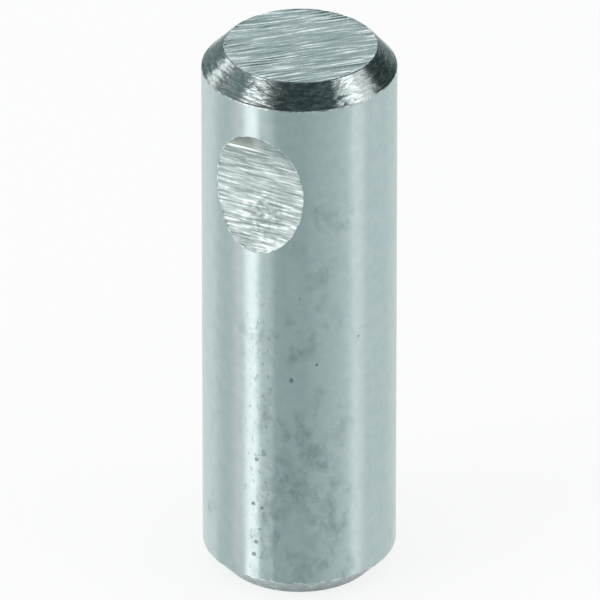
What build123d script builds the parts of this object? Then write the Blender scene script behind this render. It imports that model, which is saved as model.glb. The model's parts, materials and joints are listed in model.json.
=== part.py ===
from build123d import *
import os

# Bearing pin: one solid turned and ground steel pin, bevelled at both ends,
# with a shallow locking recess milled straight across its side.
# Millimetres. The pin stands on one end: the origin is the centre of that end,
# +Z runs up the axis, and the recess is near the top and faces -Y.

pin_diameter = 20.0
pin_length = 60.0
bevel_width = 2.2  # taken off the radius at each end
bevel_height = 2.3  # taken off the wall at each end
recess_drop = 12.5  # from the top face down to the middle of the recess
recess_depth = 1.3  # from the wall in to the deepest line of the recess
cutter_diameter = 35.0  # round cutter, its axle across the pin

pin_radius = pin_diameter / 2
face_radius = pin_radius - bevel_width
cutter_radius = cutter_diameter / 2

# Half section through the axis, from the bottom face up to the top face
half_section = [
    (0, 0),
    (face_radius, 0),
    (pin_radius, bevel_height),
    (pin_radius, pin_length - bevel_height),
    (face_radius, pin_length),
    (0, pin_length),
]

# The cutter's axle lies along X, in front of the pin by what it doesn't cut
cutter_y = -(pin_radius - recess_depth + cutter_radius)
cutter_z = pin_length - recess_drop

with BuildPart() as bearing_pin:
    with BuildSketch(Plane.XZ):
        with BuildLine():
            Polyline(*half_section, close=True)
        make_face()
    revolve(axis=Axis.Z)
    with Locations((0, cutter_y, cutter_z)):
        Cylinder(
            radius=cutter_radius,
            height=2 * pin_diameter,
            rotation=(0, 90, 0),
            mode=Mode.SUBTRACT,
        )

os.makedirs("parts", exist_ok=True)
export_step(bearing_pin.part, "parts/bearing_pin.step")
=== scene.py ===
import bpy
import bmesh
import json
import math
from mathutils import Matrix, Vector, noise


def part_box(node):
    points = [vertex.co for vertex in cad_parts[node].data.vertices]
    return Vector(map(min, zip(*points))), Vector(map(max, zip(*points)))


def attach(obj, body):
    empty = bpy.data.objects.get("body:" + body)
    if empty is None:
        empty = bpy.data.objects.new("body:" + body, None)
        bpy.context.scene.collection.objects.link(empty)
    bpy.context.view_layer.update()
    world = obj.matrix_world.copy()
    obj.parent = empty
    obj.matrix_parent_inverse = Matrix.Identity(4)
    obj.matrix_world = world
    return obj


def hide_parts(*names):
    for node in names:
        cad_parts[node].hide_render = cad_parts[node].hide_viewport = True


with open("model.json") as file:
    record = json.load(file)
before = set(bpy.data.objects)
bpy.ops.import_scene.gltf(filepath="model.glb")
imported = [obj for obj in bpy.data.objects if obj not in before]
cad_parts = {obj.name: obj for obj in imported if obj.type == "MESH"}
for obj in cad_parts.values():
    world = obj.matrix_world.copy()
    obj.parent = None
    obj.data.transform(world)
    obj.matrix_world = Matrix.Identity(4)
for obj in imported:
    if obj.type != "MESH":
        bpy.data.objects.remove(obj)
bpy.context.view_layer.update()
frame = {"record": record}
mounts = {mount["name"]: mount for mount in frame["record"]["mounts"]}
barRadius = mounts["shaft"]["dims"]["r_mm"] / 1000  # metres from here on
wallLength = mounts["shaft"]["dims"]["length_mm"] / 1000
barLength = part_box("bearing_pin")[1].z
bevelHeight = (barLength - wallLength) / 2
recessFloor = Vector(mounts["locking_recess"]["pos_m"])  # middle of the recess's deepest line
mm = 0.001
print("frame loaded, bar", round(2 * barRadius / mm, 2), "x", round(barLength / mm, 2), "mm")


# The pin: turned from bar, milled across the side, sawn off at both ends

groundWall, turnedBevel, sawnEnd, milledRecess, brokenEdge = range(5)  # material slots

pinSettings = {
    "facets": 440,  # round the bar
    "keenAngle": math.radians(20),  # edges keener than this are broken
    "bevelWidth": 2.2 * mm,
    "faceRunOut": Vector((0.13, 0.08, 0)) * mm,  # the upper face is a little off the axis
    "faceOver": 0.1 * mm,  # and over size
    "edgeBreak": 0.09 * mm,  # hardly any: saw and lathe leave the edges keen
    "rimBreak": 0.06 * mm,  # round the recess
    "cutterRadius": 17.5 * mm,
    "cutterFacets": 1200,
    "cutterLength": 24 * mm,
    "bevelRow": 0.08 * mm,  # height of a row of faces
    "endRow": 0.08 * mm,  # across the saw marks
    "endColumn": 0.35 * mm,  # along them
    "recessColumn": 0.25 * mm,
}

sameVertex = 1e-8  # metres; closer than this is one place
cutterReach = 0.01 * mm  # a face of the recess is this near the cutter's own radius
flatRise = 0.999  # a normal's height on a flat end
wallRise = 0.02  # and at most on the wall
bevelSpread = 0.03  # how far it may be off on a bevel

sawMarks = {
    "angle": math.radians(43),  # their run, from +X
    "run": 5.5 * mm,  # about how long one is
    "pitch": 0.55 * mm,
    "depth": 0.11 * mm,
    "patch": 4.0 * mm,  # size of the stretches with deeper or fainter marks
    "keenness": 0.5,  # small for narrow scratches, large for wide furrows
    "seed": 4.0,
}

millMarks = {
    "run": 2.6 * mm,
    "pitch": 0.3 * mm,
    "depth": 0.08 * mm,
    "patch": 2.5 * mm,
    "keenness": 0.5,
    "shoulder": 4.85 * mm,  # where the cutter first bit, above the middle of the recess
    "shoulderDepth": 0.07 * mm,
    "shoulderFade": (-0.6 * mm, 0.9 * mm),  # it dies away to the right
    "seed": 11.0,
}

chatterMarks = {
    "run": 1.5 * mm,
    "pitch": 0.34 * mm,
    "depth": 0.048 * mm,
    "patch": 2.6 * mm,
    "keenness": 0.6,
    "seed": 23.0,
}

markMix = {
    "furrow": 0.6,  # share of keen furrows in a mark, the rest is soft waves
    "waveScale": 0.6,
    "waveShift": Vector((0, 0, 5)),
    "middle": 0.55,  # how deep the marks are on average, and how much that changes by patches
    "swing": 0.9,
    "keptAboveStep": 0.3,  # share of the mill marks left above the shoulder
    "keptOnEdge": 0.5,  # share of all marks along the broken edges
}

cutterAxle = recessFloor - Vector((0, pinSettings["cutterRadius"], 0))
sawRun = Vector((math.cos(sawMarks["angle"]), math.sin(sawMarks["angle"]), 0))
sawStep = Vector((-sawRun.y, sawRun.x, 0))
bevelOut = Vector((bevelHeight, 0, pinSettings["bevelWidth"])).normalized()  # its normal


def turnedBar(s):
    faceRadius = barRadius - s["bevelWidth"]
    corners = [
        (faceRadius, 0, 0),
        (barRadius, 0, bevelHeight),
        (barRadius, 0, barLength - bevelHeight),
        (faceRadius, 0, barLength),
    ]
    bm = bmesh.new()
    section = [bm.verts.new(corner) for corner in corners]
    section += [bm.edges.new(pair) for pair in zip(section, section[1:])]
    bmesh.ops.spin(
        bm, geom=section, cent=(0, 0, 0), axis=(0, 0, 1),
        angle=math.tau, steps=s["facets"], use_merge=True,
    )
    openRims = [edge for edge in bm.edges if edge.is_boundary]
    bmesh.ops.edgeloop_fill(bm, edges=openRims)
    bmesh.ops.recalc_face_normals(bm, faces=bm.faces)
    rims = [edge for edge in bm.edges if edge.calc_face_angle() > s["keenAngle"]]
    bmesh.ops.bevel(
        bm, geom=rims, offset=s["edgeBreak"], offset_type="OFFSET",
        affect="EDGES", segments=2, profile=0.5, material=-1,
    )
    return bm


def roundCutter(s):  # its axle lies across the bar
    bm = bmesh.new()
    bmesh.ops.create_cone(
        bm, cap_ends=True, segments=s["cutterFacets"], radius1=s["cutterRadius"],
        radius2=s["cutterRadius"], depth=s["cutterLength"],
    )
    acrossBar = Matrix.Rotation(math.pi / 2, 3, "Y")
    bmesh.ops.rotate(bm, verts=bm.verts, cent=(0, 0, 0), matrix=acrossBar)
    bmesh.ops.translate(bm, verts=bm.verts, vec=cutterAxle)
    return bm


def objectFrom(bm, name):
    mesh = bpy.data.meshes.new(name)
    bm.to_mesh(mesh)
    bm.free()
    piece = bpy.data.objects.new(name, mesh)
    bpy.context.scene.collection.objects.link(piece)
    return piece


def milledBar(bar, cutter):
    cut = bar.modifiers.new("recess", "BOOLEAN")
    cut.operation = "DIFFERENCE"
    cut.solver = "EXACT"
    cut.object = cutter
    depsgraph = bpy.context.evaluated_depsgraph_get()
    solid = bpy.data.meshes.new_from_object(bar.evaluated_get(depsgraph))
    bm = bmesh.new()
    bm.from_mesh(solid)
    for spare in (bar, cutter):
        bpy.data.objects.remove(spare)
    return bm


def finishOf(face):
    middle = face.calc_center_median()
    spoke = middle - cutterAxle
    spoke.x = 0
    if abs(spoke.length - pinSettings["cutterRadius"]) < cutterReach and face.normal.dot(spoke) < 0:
        return milledRecess
    if abs(face.normal.z) > flatRise:
        return sawnEnd
    if abs(face.normal.z) < wallRise:
        return groundWall
    return turnedBevel if abs(abs(face.normal.z) - bevelOut.z) < bevelSpread else brokenEdge


def onceEach(parts):  # in the order they come, so that every run gives the same mesh
    return list(dict.fromkeys(parts))


def finishesAt(part):  # of an edge or a vertex
    return {face.material_index for face in part.link_faces}


def recessRim(bm):
    return [edge for edge in bm.edges if finishesAt(edge) == {groundWall, milledRecess}]


def breakRim(bm, offset):  # a fine chamfer where the recess meets the wall
    corners = onceEach(vert for edge in recessRim(bm) for vert in edge.verts)
    bmesh.ops.remove_doubles(bm, verts=corners, dist=offset / 3)  # short edges would fold it
    chamfer = bmesh.ops.bevel(
        bm, geom=recessRim(bm), offset=offset, offset_type="OFFSET",
        affect="EDGES", segments=2, profile=0.5, material=-1,
    )
    for face in chamfer["faces"]:
        face.material_index = brokenEdge


def sliceFaces(bm, faces, direction, spacing):  # parallel cuts, the spacing apart
    reach = [vert.co.dot(direction) for face in faces for vert in face.verts]
    low, high = min(reach), max(reach)
    cuts = round((high - low) / spacing)
    geom = onceEach(part for face in faces for part in (face, *face.edges, *face.verts))
    for i in range(1, cuts):
        place = direction * (low + (high - low) * i / cuts)
        geom = bmesh.ops.bisect_plane(
            bm, geom=geom, dist=sameVertex, plane_co=place, plane_no=direction,
        )["geom"]


def orderFaces(bm):  # by their first two edges, because the cuts leave them in any order
    bm.edges.index_update()

    def rank(face):
        first, second = sorted(edge.index for edge in face.edges)[:2]
        return first * len(bm.edges) + second

    bm.faces.sort(key=rank)


def facesOf(bm, finish, low=-1.0, high=1.0):  # between two heights in metres
    return [
        face for face in bm.faces
        if face.material_index == finish and low < face.calc_center_median().z < high
    ]


def markDepth(s, along, across, over=0.0):  # how deep the tool bit there
    place = Vector((along / s["run"], across / s["pitch"], s["seed"] + over / s["run"]))
    furrow = max(0, 1 - abs(noise.noise(place)) / s["keenness"])
    wave = 0.5 + noise.noise(place * markMix["waveScale"] + markMix["waveShift"])
    patch = noise.noise(Vector((along, across, over + s["seed"] * mm)) / s["patch"])
    strength = markMix["middle"] + markMix["swing"] * patch
    bite = markMix["furrow"] * furrow + (1 - markMix["furrow"]) * wave
    return s["depth"] * max(0, strength) * max(0, bite)


def toolPath(finish, co, beside=None):  # a place along the tool's marks and across them
    if finish == sawnEnd:
        return co.dot(sawRun), co.dot(sawStep)
    if finish == milledRecess:
        spoke = co - cutterAxle
        return co.x, math.atan2(spoke.z, spoke.y) * pinSettings["cutterRadius"]
    turn = math.atan2(co.y, co.x)
    if beside:  # keeps a face that lies across the seam whole
        near = math.atan2(beside.y, beside.x)
        turn += math.tau * round((near - turn) / math.tau)
    return turn * barRadius, co.z


def sunkBy(vert):  # the tool marks move a vertex into the steel, never out of it
    finishes = finishesAt(vert)
    co = vert.co
    end = 1 if co.z > barLength / 2 else -1
    shift = Vector()
    if sawnEnd in finishes:
        shift.z -= end * markDepth(sawMarks, *toolPath(sawnEnd, co))
    if turnedBevel in finishes:
        drop = barLength / 2 + bevelHeight - abs(co.z - barLength / 2)
        slant = math.hypot(barRadius - co.xy.length, drop)  # grows down the bevel
        outward = co.xy.normalized().to_3d() * bevelOut.x + Vector((0, 0, end * bevelOut.z))
        shift -= outward * markDepth(chatterMarks, co.x, slant, co.y + end)
    if milledRecess in finishes:
        inward = (co - cutterAxle) * Vector((0, 1, 1))
        along, up = toolPath(milledRecess, co)
        depth = markDepth(millMarks, along, up)
        if up > millMarks["shoulder"]:
            fadeStart, fadeEnd = millMarks["shoulderFade"]
            share = min(1, max(0, (fadeEnd - along) / (fadeEnd - fadeStart)))
            depth += share * (millMarks["shoulderDepth"] - (1 - markMix["keptAboveStep"]) * depth)
        shift += inward.normalized() * depth
    return shift * (markMix["keptOnEdge"] if brokenEdge in finishes else 1)


def makePin(s):
    bm = milledBar(objectFrom(turnedBar(s), "bar"), objectFrom(roundCutter(s), "cutter"))
    for face in bm.faces:
        face.material_index = finishOf(face)
    breakRim(bm, s["rimBreak"])
    middle = barLength / 2
    sliceFaces(bm, facesOf(bm, turnedBevel, low=middle), Vector((0, 0, 1)), s["bevelRow"])
    sliceFaces(bm, facesOf(bm, turnedBevel, high=middle), Vector((0, 0, 1)), s["bevelRow"])
    sliceFaces(bm, facesOf(bm, sawnEnd), sawStep, s["endRow"])
    sliceFaces(bm, facesOf(bm, sawnEnd), sawRun, s["endColumn"])
    sliceFaces(bm, facesOf(bm, milledRecess), Vector((1, 0, 0)), s["recessColumn"])
    orderFaces(bm)
    print("pin cut,", len(bm.faces), "faces")
    shifts = [sunkBy(vert) for vert in bm.verts]
    for vert, shift in zip(bm.verts, shifts):
        rise = max(0, vert.co.z - barLength + bevelHeight) / bevelHeight  # 1 on the upper face
        spoke = Vector((vert.co.x, vert.co.y, 0))
        vert.co += shift + rise * (s["faceRunOut"] + s["faceOver"] * spoke / barRadius)
    pathMap = bm.loops.layers.uv.new("toolPath")  # in millimetres, for the run of the marks
    for face in bm.faces:
        face.smooth = True
        middle = face.calc_center_median()
        for loop in face.loops:
            path = toolPath(face.material_index, loop.vert.co, middle)
            loop[pathMap].uv = [place / mm for place in path]
    for edge in bm.edges:
        edge.smooth = len(finishesAt(edge)) == 1
    return objectFrom(bm, "bearingPin")


bearingPin = makePin(pinSettings)
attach(bearingPin, "root")
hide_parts("bearing_pin")
print("pin made,", len(bearingPin.data.vertices), "vertices")


# Finishes: one bare steel under four tools, with painted glints on the tooled faces, and painted
# light and shade in the recess
# A setting with four numbers goes to spread(): low and high, and what they become

grainRoughness = 0.6  # how much the finer grain counts in every noise
gleamTurn = 0.25  # of a full turn, lays the gleam across the marks


def addNode(tree, kind, inputs, **settings):  # inputs take a value or another node's output
    node = tree.nodes.new(kind)
    for name, value in settings.items():
        setattr(node, name, value)
    for socket, value in inputs.items():
        if isinstance(value, bpy.types.NodeSocket):
            tree.links.new(value, node.inputs[socket])
        else:
            node.inputs[socket].default_value = value
    return node


def sums(tree, operation, first, second):
    return addNode(tree, "ShaderNodeMath", {0: first, 1: second}, operation=operation).outputs[0]


def spread(tree, value, low, high, start=0.0, end=1.0):  # low to high becomes start to end
    return addNode(
        tree, "ShaderNodeMapRange",
        {"Value": value, "From Min": low, "From Max": high, "To Min": start, "To Max": end},
    ).outputs[0]


def grainOf(tree, place, scales, detail=2.0, swirl=0.0):  # drawn out along the smaller scales
    drawn = addNode(tree, "ShaderNodeVectorMath", {0: place, 1: scales}, operation="MULTIPLY")
    return addNode(tree, "ShaderNodeTexNoise", {
        "Vector": drawn.outputs[0], "Scale": 1.0, "Detail": detail,
        "Roughness": grainRoughness, "Distortion": swirl,
    }).outputs["Fac"]


def distanceTo(tree, place, spot):
    return addNode(
        tree, "ShaderNodeVectorMath", {0: place, 1: spot}, operation="DISTANCE",
    ).outputs["Value"]


def facingOf(tree, place, turn):  # 1 where the wall faces that way, from -Y towards +X
    way = Vector((math.sin(turn), -math.cos(turn), 0)) / barRadius
    return addNode(
        tree, "ShaderNodeVectorMath", {0: place, 1: way}, operation="DOT_PRODUCT",
    ).outputs["Value"]


def blend(tree, share, first, second):  # colours, first where share is 0
    mix = addNode(tree, "ShaderNodeMix", {"Factor": share}, data_type="RGBA")
    for socket, colour in ((6, first), (7, second)):
        if isinstance(colour, bpy.types.NodeSocket):
            tree.links.new(colour, mix.inputs[socket])
        else:
            mix.inputs[socket].default_value = (*colour, 1)
    return mix.outputs[2]


def bareSteel(name, s):  # bright metal with the gleam drawn out across the tool's marks
    steel = bpy.data.materials.new(name)
    steel.use_nodes = True
    tree = steel.node_tree
    shader = tree.nodes["Principled BSDF"]
    shader.inputs["Metallic"].default_value = 1
    shader.inputs["Anisotropic"].default_value = s["anisotropy"]
    shader.inputs["Anisotropic Rotation"].default_value = gleamTurn
    if s["tangent"] == "axis":
        tangent = addNode(tree, "ShaderNodeTangent", {}, direction_type="RADIAL", axis="Z")
    else:
        tangent = addNode(tree, "ShaderNodeTangent", {}, direction_type="UV_MAP", uv_map="toolPath")
    tree.links.new(tangent.outputs[0], shader.inputs["Tangent"])
    return steel, tree, shader


wallFinish = {
    "tangent": "axis",
    "anisotropy": 1.0,
    "roughness": (0.3, 0.7, 0.19, 0.22),  # by the streaks
    "light": (0.52, 0.60, 0.592),
    "dark": (0.465, 0.545, 0.555),
    "tone": (0.34, 0.66),  # the tones that turn dark and light
    "streaks": (1800, 1800, 120),  # fine lines along the bar
    "streakShare": 0.2,  # of the tone, the rest is clouds
    "clouds": (850, 850, 850),
    "cloudDetail": 4.0,
    "ringScale": (0, 0, 30000),  # rings left by the grinding wheel, finer than the eye sees
    "ringDetail": 0.0,
    "ringDepth": 0.004 * mm,
    "stain": (0.19, 0.25, 0.25),
    "stainShare": 0.75,
    "stainSide": math.radians(27),  # the side with most stains, from -Y towards +X
    "stainScale": (600, 600, 420),
    "stainDetail": 4.0,
    "stainSwirl": 0.3,
    "outline": (0.0, 0.035, 0.45, 0.0),  # round a stain
    "outlineBreaks": (0.42, 0.54),
    "blotch": (0.55, 0.36, 0.0, 0.65),  # inside it
    "beds": (0.47, 0.62),  # the places that have stains
    "bedScale": (230, 230, 138),  # noise scales are per metre, smaller is larger
    "bedsBySide": (0.72, 1.0, -0.16, 0.05),
    "bedsByHeight": (0.3 * barLength, 0.8 * barLength, 0.03, -0.1),
    "specks": (0.57, 0.66, 0.0, 0.8),  # in a row below the recess
    "speckScale": (1600, 1600, 900),
    "speckDetail": 3.0,
    "speckSide": math.radians(2.5),
    "specksBySide": (0.982, 0.996),
    "specksByHeight": (0.55 * barLength, 0.62 * barLength, 1.0, 0.0),
    "pit": (0.12, 0.16, 0.16),
    "pitShare": 0.68,
    "pitDepth": 0.05 * mm,
    "pitRim": (0.7, 1.4),  # in radii, where a pit starts to fade and where it ends
    "pitWarp": (0.3, 0.7, 1.35, 0.65),  # by the clouds, so that no pit is round
    "pits": [  # from the stained side in degrees, height and radius in mm
        (-4.3, 26.4, 0.27), (-25.8, 16.5, 0.15), (-28.0, 11.2, 0.17), (-22.2, 10.9, 0.14),
        (-26.3, 6.7, 0.17), (-27.5, 5.2, 0.18), (-5.1, 13.2, 0.09), (3.6, 15.4, 0.11),
        (10.3, 28.2, 0.15), (0.4, 36.0, 0.09), (37.4, 30.5, 0.09), (-24.0, 8.3, 0.09),
    ],
}


def stainsOn(tree, place, height, clouds, s):
    facing = facingOf(tree, place, s["stainSide"])
    beds = grainOf(tree, place, s["bedScale"])
    beds = sums(tree, "ADD", beds, spread(tree, facing, *s["bedsBySide"]))
    beds = sums(tree, "ADD", beds, spread(tree, height, *s["bedsByHeight"]))
    marks = grainOf(tree, place, s["stainScale"], s["stainDetail"], s["stainSwirl"])
    outline = sums(tree, "ABSOLUTE", sums(tree, "SUBTRACT", marks, 0.5), 0.0)  # 0 on the line
    outline = spread(tree, outline, *s["outline"])
    outline = sums(tree, "MULTIPLY", outline, spread(tree, clouds, *s["outlineBreaks"]))
    stains = sums(tree, "MAXIMUM", outline, spread(tree, marks, *s["blotch"]))
    return sums(tree, "MULTIPLY", stains, spread(tree, beds, *s["beds"]))


def specksOn(tree, place, height, s):
    facing = facingOf(tree, place, s["speckSide"])
    specks = grainOf(tree, place, s["speckScale"], detail=s["speckDetail"])
    specks = spread(tree, specks, *s["specks"])
    specks = sums(tree, "MULTIPLY", specks, spread(tree, facing, *s["specksBySide"]))
    return sums(tree, "MULTIPLY", specks, spread(tree, height, *s["specksByHeight"]))


def pitsOn(tree, place, clouds, s):
    warp = spread(tree, clouds, *s["pitWarp"])
    pitted = None
    for degrees, rise, radius in s["pits"]:
        turn = s["stainSide"] + math.radians(degrees)
        spot = Vector((math.sin(turn) * barRadius, -math.cos(turn) * barRadius, rise * mm))
        away = sums(tree, "MULTIPLY", distanceTo(tree, place, spot), warp)
        fadeStart, fadeEnd = (share * radius * mm for share in s["pitRim"])
        pit = spread(tree, away, fadeStart, fadeEnd, 1.0, 0.0)
        pitted = sums(tree, "MAXIMUM", pitted, pit) if pitted else pit
    return pitted


def groundSteel(s):
    steel, tree, shader = bareSteel("groundSteel", s)
    place = addNode(tree, "ShaderNodeTexCoord", {}).outputs["Object"]
    height = addNode(tree, "ShaderNodeSeparateXYZ", {0: place}).outputs["Z"]
    streaks = grainOf(tree, place, s["streaks"])
    clouds = grainOf(tree, place, s["clouds"], detail=s["cloudDetail"])
    tone = sums(tree, "MULTIPLY", streaks, s["streakShare"])
    tone = sums(tree, "ADD", tone, sums(tree, "MULTIPLY", clouds, 1 - s["streakShare"]))
    colour = blend(tree, spread(tree, tone, *s["tone"]), s["dark"], s["light"])
    stains = stainsOn(tree, place, height, clouds, s)
    stains = sums(tree, "MAXIMUM", stains, specksOn(tree, place, height, s))
    colour = blend(tree, sums(tree, "MULTIPLY", stains, s["stainShare"]), colour, s["stain"])
    pits = pitsOn(tree, place, clouds, s)
    colour = blend(tree, sums(tree, "MULTIPLY", pits, s["pitShare"]), colour, s["pit"])
    tree.links.new(colour, shader.inputs["Base Color"])
    tree.links.new(spread(tree, streaks, *s["roughness"]), shader.inputs["Roughness"])

    rings = grainOf(tree, place, s["ringScale"], detail=s["ringDetail"])
    rings = addNode(
        tree, "ShaderNodeBump",
        {"Height": rings, "Strength": 1.0, "Distance": s["ringDepth"]},
    ).outputs[0]
    sunk = addNode(
        tree, "ShaderNodeBump",
        {"Height": pits, "Strength": 1.0, "Distance": s["pitDepth"], "Normal": rings},
        invert=True,
    ).outputs[0]
    tree.links.new(sunk, shader.inputs["Normal"])
    return steel


toolMarks = {  # alike in the four finishes below
    "swirl": 0.3,
    "clouds": (1300, 1300, 1300),
    "cloudDetail": 3.0,
    "tone": (0.4, 0.56),
    "paintedGlintWidth": 0.07,  # from there to the first tone painted fully with the glint
}

bevelFinish = {
    "tangent": "axis",
    "anisotropy": 0.8,
    "roughness": (0.35, 0.65, 0.20, 0.28),  # by the marks
    "paintedGlint": (0.74, 0.81, 0.81),
    "paintedGlintFrom": 0.54,  # the first tone painted with a glint
    "light": (0.61, 0.68, 0.68),
    "dark": (0.50, 0.57, 0.57),
    "marks": (0.9, 4.0),  # to the millimetre, along and across the tool's path
    "detail": 1.5,
    "markShare": 0.85,  # of the tone, the rest is clouds
    "grainDepth": 0.03 * mm,
}

endFinish = {
    "tangent": "map",
    "anisotropy": 0.6,
    "roughness": (0.35, 0.65, 0.22, 0.32),
    "paintedGlint": (0.94, 1.0, 1.0),
    "paintedGlintFrom": 0.54,
    "light": (0.395, 0.485, 0.485),
    "dark": (0.26, 0.34, 0.345),
    "marks": (0.18, 2.8),
    "detail": 3.0,
    "markShare": 0.9,
    "grainDepth": 0.03 * mm,
}

recessFinish = {
    "tangent": "map",
    "anisotropy": 0.6,
    "roughness": (0.35, 0.65, 0.28, 0.38),
    "paintedGlint": (0.88, 0.95, 0.935),
    "paintedGlintFrom": 0.57,
    "light": (0.515, 0.585, 0.575),
    "dark": (0.23, 0.285, 0.28),
    "marks": (0.28, 3.6),
    "detail": 2.5,
    "markShare": 0.85,
    "grainDepth": 0.04 * mm,
    "paintedFootLight": (-6.5, 6.5, 0.035, -0.035),  # painted light, lighter towards its foot; mm up the recess, and tone
    "paintedTopShade": (2.5, 6.5, 0.0, 0.09),  # painted shade, darker at its top
    "torn": (0.5, -2.7, 0),  # in mm along and up the recess, where the cutter tore the steel
    "tornReach": (0.6, 3.8, 1.0, 0.0),
    "tornScale": (2000, 2600, 2600),
    "tornDetail": 3.0,
    "tornSpots": (0.35, 0.65, -0.09, 0.07),
    "paintedLedgeHighlight": (0.76, 0.82, 0.81),  # painted highlight, the bright line along the shoulder
    "paintedLedgeHighlightFrom": (-0.2, -0.1),  # in mm up from the shoulder, as the next two
    # painted shade on the band above the shoulder, darkest towards the rim
    "paintedShadeFrom": (0.05, 0.15),
    "paintedShadeRimFrom": (0.4, 1.2),
    "paintedShade": (0.34, 0.38, 0.35),
    "paintedShadeRim": (0.24, 0.275, 0.26),
}


# painted light towards the recess's foot and painted shade at its top, then the torn spots
def recessTone(tree, tone, place, path, up, s):
    tone = sums(tree, "ADD", tone, spread(tree, up, *s["paintedFootLight"]))
    tone = sums(tree, "SUBTRACT", tone, spread(tree, up, *s["paintedTopShade"]))
    spots = grainOf(tree, place, s["tornScale"], detail=s["tornDetail"])
    spots = spread(tree, spots, *s["tornSpots"])
    near = spread(tree, distanceTo(tree, path, s["torn"]), *s["tornReach"])
    return sums(tree, "ADD", tone, sums(tree, "MULTIPLY", spots, near))


def shoulderLightAndShade(tree, colour, along, up, s):  # a painted highlight along the ledge, and painted shade on the steel above it
    shoulder = millMarks["shoulder"] / mm
    fade = spread(tree, along, *(place / mm for place in millMarks["shoulderFade"]), 1.0, 0.0)
    paintedLedgeHighlight = spread(tree, up, *(shoulder + step for step in s["paintedLedgeHighlightFrom"]))
    colour = blend(tree, sums(tree, "MULTIPLY", fade, paintedLedgeHighlight), colour, s["paintedLedgeHighlight"])
    # painted shade above the ledge, darker still by the rim
    rim = spread(tree, up, *(shoulder + step for step in s["paintedShadeRimFrom"]))
    paintedShadeColour = blend(tree, rim, s["paintedShade"], s["paintedShadeRim"])
    above = spread(tree, up, *(shoulder + step for step in s["paintedShadeFrom"]))
    return blend(tree, sums(tree, "MULTIPLY", fade, above), colour, paintedShadeColour)


def toolSteel(name, s):
    steel, tree, shader = bareSteel(name, s)
    path = addNode(tree, "ShaderNodeUVMap", {}, uv_map="toolPath").outputs[0]
    along, up = addNode(tree, "ShaderNodeSeparateXYZ", {0: path}).outputs[:2]
    place = addNode(tree, "ShaderNodeTexCoord", {}).outputs["Object"]
    marks = grainOf(tree, path, (*s["marks"], 1), s["detail"], toolMarks["swirl"])
    clouds = grainOf(tree, place, toolMarks["clouds"], detail=toolMarks["cloudDetail"])
    tone = sums(tree, "MULTIPLY", marks, s["markShare"])
    tone = sums(tree, "ADD", tone, sums(tree, "MULTIPLY", clouds, 1 - s["markShare"]))
    if "paintedFootLight" in s:
        tone = recessTone(tree, tone, place, path, up, s)
    colour = blend(tree, spread(tree, tone, *toolMarks["tone"]), s["dark"], s["light"])
    # painted highlight: the lightest marks are painted near white as glints
    paintedGlint = spread(tree, tone, s["paintedGlintFrom"], s["paintedGlintFrom"] + toolMarks["paintedGlintWidth"])
    colour = blend(tree, paintedGlint, colour, s["paintedGlint"])
    if "paintedShade" in s:
        colour = shoulderLightAndShade(tree, colour, along, up, s)
    tree.links.new(colour, shader.inputs["Base Color"])
    tree.links.new(spread(tree, marks, *s["roughness"]), shader.inputs["Roughness"])
    bump = addNode(
        tree, "ShaderNodeBump",
        {"Height": marks, "Strength": 1.0, "Distance": s["grainDepth"]},
    ).outputs[0]
    tree.links.new(bump, shader.inputs["Normal"])
    return steel


edgeFinish = {
    "tangent": "axis",
    "anisotropy": 0.0,
    "roughness": (0.35, 0.65, 0.28, 0.40),
    "paintedGlint": (0.85, 0.9, 0.9),
    "paintedGlintFrom": 0.57,
    "light": (0.62, 0.675, 0.67),
    "dark": (0.32, 0.37, 0.37),
    "marks": (1.5, 1.5),
    "detail": 2.0,
    "markShare": 0.9,
    "grainDepth": 0.003 * mm,
}

for finish in (
    groundSteel(wallFinish),
    toolSteel("turnedSteel", bevelFinish),
    toolSteel("sawnSteel", endFinish),
    toolSteel("milledSteel", recessFinish),
    toolSteel("wornSteel", edgeFinish),
):
    bearingPin.data.materials.append(finish)
print("finishes made")


# The studio: a white table and backdrop, two soft lamps, dark cards for the steel to mirror

cameraRadii = 160.5  # how far off the camera stands, in radii of the pin
radiusPixels = 97.374  # how wide such a radius is in the photograph

photoView = {
    "azimuth": math.radians(27.18),  # from -Y towards +X
    "elevation": math.radians(29.5),
    "distance": cameraRadii * barRadius,
    "focalPixels": radiusPixels * cameraRadii,
    "framePixels": 600,
    "pinAcross": 299.33,  # where the pin's middle is in the photograph, in pixels
    "pinDown": 301.88,
    "sensorWidth": 36,  # mm
}

floorSettings = {
    "width": 8.0,
    "colour": (0.86, 0.87, 0.87),
    "roughness": 0.9,
    "specular": 0.2,
    "backdropShare": 0.8,  # how far it is the white backdrop, the rest is lit and shaded
    "mirrored": (0.006, 0.022),  # metres off, where the steel stops mirroring the lit floor
}

backdropSettings = {
    "roomColour": (0.97, 0.98, 1, 1),  # of the light that falls on the table
    "roomBrightness": 0.9,
}

cardSettings = {
    "columns": 36,
    "rows": 12,
    "redLeast": 0.55,  # red against green and blue: the darker the cloth, the colder
    "redGain": 0.4,
}

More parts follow.
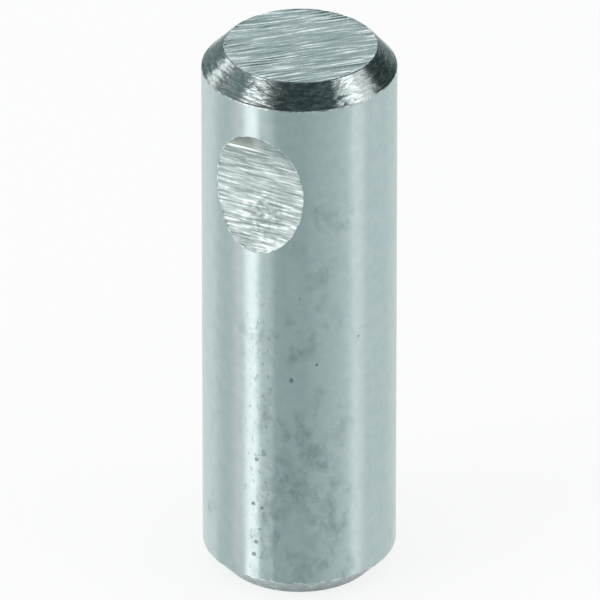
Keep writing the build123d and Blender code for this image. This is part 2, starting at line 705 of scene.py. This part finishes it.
cards = [  # from and to which azimuth, from the camera's, and elevation, in degrees, and how bright
    {"name": "cameraCard", "from": -32, "to": 24, "low": 32, "high": 60, "brightness": 0.045},
    {"name": "cameraLowCard", "from": -32, "to": 24, "low": 1, "high": 32, "brightness": 0.6},
    {"name": "greyCard", "from": 24, "to": 62, "low": 1, "high": 42, "brightness": 0.3},
    {"name": "darkCard", "from": 24, "to": 52, "low": 42, "high": 60, "brightness": 0.06},
    {"name": "rightTopCard", "from": 52, "to": 100, "low": 48, "high": 60, "brightness": 0.06},
    {"name": "rightCard", "from": 103, "to": 166, "low": 10, "high": 60, "brightness": 0.04},
    {"name": "rightEdgeCard", "from": 106, "to": 170, "low": 1, "high": 10, "brightness": 0.12},
    {"name": "leftCard", "from": -108, "to": -74, "low": 8, "high": 48, "brightness": 0.29},
    {"name": "leftTopCard", "from": -110, "to": -32, "low": 46, "high": 60, "brightness": 0.06},
    {"name": "farLeftTopCard", "from": -130, "to": -110, "low": 27, "high": 60, "brightness": 0.06},
    {"name": "farLeftGlowCard", "from": -130, "to": -110, "low": 8, "high": 27, "brightness": 1.7},
    {"name": "farLeftLowCard", "from": -130, "to": -108, "low": 1, "high": 8, "brightness": 0.15},
    {"name": "farLeftCard", "from": -172, "to": -130, "low": 1, "high": 40, "brightness": 0.22},
    {"name": "backLowCard", "from": 170, "to": 190, "low": 1, "high": 12, "brightness": 5.4},
    {"name": "backCard", "from": 160, "to": 192, "low": 12, "high": 50, "brightness": 1.0},
    {"name": "backTopCard", "from": 160, "to": 192, "low": 50, "high": 60, "brightness": 0.1},
    {"name": "ceilingCard", "from": -100, "to": 100, "low": 60, "high": 90, "brightness": 0.05},
    {"name": "ceilingBackCard", "from": 100, "to": 260, "low": 60, "high": 90, "brightness": 0.25},
]

tableCards = [  # lying on the table, seen only in the steel; near and far from the bar in mm
    {"name": "leftTable", "from": -178, "to": -114.5, "near": 0, "far": 200, "brightness": 1.02},
    {"name": "leftFarTable", "from": -178, "to": -134, "near": 200, "far": 600, "brightness": 0.2},
    {"name": "leftMiddleTable", "from": -114.5, "to": -84, "near": 0, "far": 600, "brightness": 0.82},
    {"name": "brightTable", "from": -67, "to": -50, "near": 0, "far": 600, "brightness": 1.66},
    {"name": "fadeTable", "from": -49, "to": -31, "near": 0, "far": 600, "brightness": 0.84},
    {"name": "frontTable", "from": -31, "to": 8, "near": 0, "far": 600, "brightness": 0.6},
    {
        "name": "frontRightTable", "from": 8, "to": 63, "near": 0, "far": 600,
        "brightness": 0.62, "endBrightness": 0.91,
    },
    {"name": "stripTable", "from": 63, "to": 79, "near": 0, "far": 600, "brightness": 1.13},
    {"name": "rightTable", "from": 84, "to": 125, "near": 0, "far": 600, "brightness": 0.9},
    {"name": "rightEdgeTable", "from": 125, "to": 178, "near": 0, "far": 200, "brightness": 0.95},
    {"name": "rightFarTable", "from": 125, "to": 178, "near": 200, "far": 600, "brightness": 0.2},
]

lamps = [
    {
        "name": "leftLamp", "azimuth": -63, "elevation": 38,
        "width": 0.28, "height": 0.32, "brightness": 2.2,
    },
    {
        "name": "rightLamp", "azimuth": 69, "elevation": 31,
        "width": 0.2, "height": 0.36, "brightness": 1.25,
    },
]

stageDistance = 0.6  # metres, from the pin's foot to the cards and lamps
tableLift = 0.3 * mm  # of the cards that lie on the table


def heading(azimuth, elevation):  # unit vector, azimuth 0 is the camera's
    turned = photoView["azimuth"] + math.radians(azimuth)
    high = math.radians(elevation)
    level = math.cos(high)
    return Vector((math.sin(turned) * level, -math.cos(turned) * level, math.sin(high)))


def makeFloor(s):
    bm = bmesh.new()
    bmesh.ops.create_grid(bm, x_segments=1, y_segments=1, size=s["width"] / 2)
    table = objectFrom(bm, "table")
    paper = bpy.data.materials.new("whitePaper")
    paper.use_nodes = True
    tree = paper.node_tree
    lit = tree.nodes["Principled BSDF"]
    lit.inputs["Base Color"].default_value = (*s["colour"], 1)
    lit.inputs["Roughness"].default_value = s["roughness"]
    lit.inputs["Specular IOR Level"].default_value = s["specular"]
    rays = addNode(tree, "ShaderNodeLightPath", {}).outputs
    place = addNode(tree, "ShaderNodeTexCoord", {}).outputs["Object"]
    away = addNode(tree, "ShaderNodeVectorMath", {0: place}, operation="LENGTH").outputs["Value"]
    mirrored = sums(tree, "MAXIMUM", rays["Is Glossy Ray"], rays["Is Transmission Ray"])
    mirrored = sums(tree, "MULTIPLY", mirrored, spread(tree, away, *s["mirrored"]))
    seen = sums(tree, "MAXIMUM", rays["Is Camera Ray"], mirrored)
    share = sums(tree, "MULTIPLY", seen, s["backdropShare"])
    white = addNode(tree, "ShaderNodeEmission", {"Color": (1, 1, 1, 1), "Strength": 1.0})
    mix = addNode(tree, "ShaderNodeMixShader", {0: share, 1: lit.outputs[0], 2: white.outputs[0]})
    tree.links.new(mix.outputs[0], tree.nodes["Material Output"].inputs["Surface"])
    table.data.materials.append(paper)


def makeBackdrop(s):
    world = bpy.data.worlds.new("backdrop")
    bpy.context.scene.world = world
    world.use_nodes = True
    tree = world.node_tree
    rays = addNode(tree, "ShaderNodeLightPath", {}).outputs
    seen = sums(tree, "MAXIMUM", rays["Is Camera Ray"], rays["Is Glossy Ray"])
    seen = sums(tree, "MAXIMUM", seen, rays["Is Transmission Ray"])
    room = addNode(
        tree, "ShaderNodeBackground",
        {"Color": s["roomColour"], "Strength": s["roomBrightness"]},
    )
    white = addNode(tree, "ShaderNodeBackground", {"Color": (1, 1, 1, 1), "Strength": 1.0})
    mix = addNode(tree, "ShaderNodeMixShader", {0: seen, 1: room.outputs[0], 2: white.outputs[0]})
    tree.links.new(mix.outputs[0], tree.nodes["World Output"].inputs["Surface"])


def hangCard(s, cloth):  # a strip of a ball round the pin, or a slice of the table
    bm = bmesh.new()
    bmesh.ops.create_grid(
        bm, x_segments=cardSettings["columns"], y_segments=cardSettings["rows"], size=0.5,
    )
    glow = bm.verts.layers.float_color.new("glow")
    for vert in bm.verts:
        across, up = vert.co.x + 0.5, vert.co.y + 0.5
        azimuth = s["from"] + across * (s["to"] - s["from"])
        if "low" in s:
            vert.co = heading(azimuth, s["low"] + up * (s["high"] - s["low"])) * stageDistance
        else:
            away = (s["near"] + up * (s["far"] - s["near"])) * mm
            foot = heading(azimuth / 2, 0) * barRadius
            vert.co = foot + heading(azimuth, 0) * away + Vector((0, 0, tableLift))
        end = s.get("endBrightness", s["brightness"])
        brightness = s["brightness"] + across * (end - s["brightness"])
        red = min(1, cardSettings["redLeast"] + cardSettings["redGain"] * math.sqrt(brightness))
        vert[glow] = (red * brightness, brightness, brightness, 1)
    card = objectFrom(bm, s["name"])
    card.visible_camera = False
    card.visible_shadow = False
    card.visible_diffuse = False
    card.data.materials.append(cloth)


def makeCloth():
    cloth = bpy.data.materials.new("cardCloth")
    cloth.use_nodes = True
    tree = cloth.node_tree
    glow = addNode(tree, "ShaderNodeAttribute", {}, attribute_name="glow").outputs["Color"]
    shining = addNode(tree, "ShaderNodeEmission", {"Color": glow, "Strength": 1.0})
    tree.links.new(shining.outputs[0], tree.nodes["Material Output"].inputs["Surface"])
    return cloth


def hangLamp(s):
    lamp = bpy.data.lights.new(s["name"], "AREA")
    lamp.shape = "RECTANGLE"
    lamp.size = s["width"]
    lamp.size_y = s["height"]
    lamp.energy = s["brightness"] * math.pi * s["width"] * s["height"]  # brightness 1 looks white
    holder = bpy.data.objects.new(s["name"], lamp)
    towards = heading(s["azimuth"], s["elevation"])
    holder.location = towards * stageDistance
    holder.rotation_euler = towards.to_track_quat("Z", "Y").to_euler()
    bpy.context.scene.collection.objects.link(holder)


def setCamera(s):
    lens = bpy.data.cameras.new("photoLens")
    lens.sensor_width = s["sensorWidth"]
    lens.lens = s["focalPixels"] * lens.sensor_width / s["framePixels"]
    lens.shift_x = 0.5 - s["pinAcross"] / s["framePixels"]
    lens.shift_y = s["pinDown"] / s["framePixels"] - 0.5
    camera = bpy.data.objects.new("photoCamera", lens)
    back = heading(0, math.degrees(s["elevation"]))
    camera.location = Vector((0, 0, barLength / 2)) + back * s["distance"]
    camera.rotation_euler = back.to_track_quat("Z", "Y").to_euler()
    bpy.context.scene.collection.objects.link(camera)
    bpy.context.scene.camera = camera


makeFloor(floorSettings)
makeBackdrop(backdropSettings)
cardCloth = makeCloth()
for card in cards + tableCards:
    hangCard(card, cardCloth)
for lamp in lamps:
    hangLamp(lamp)
setCamera(photoView)
bpy.context.scene.view_settings.view_transform = "Standard"
print("studio set")
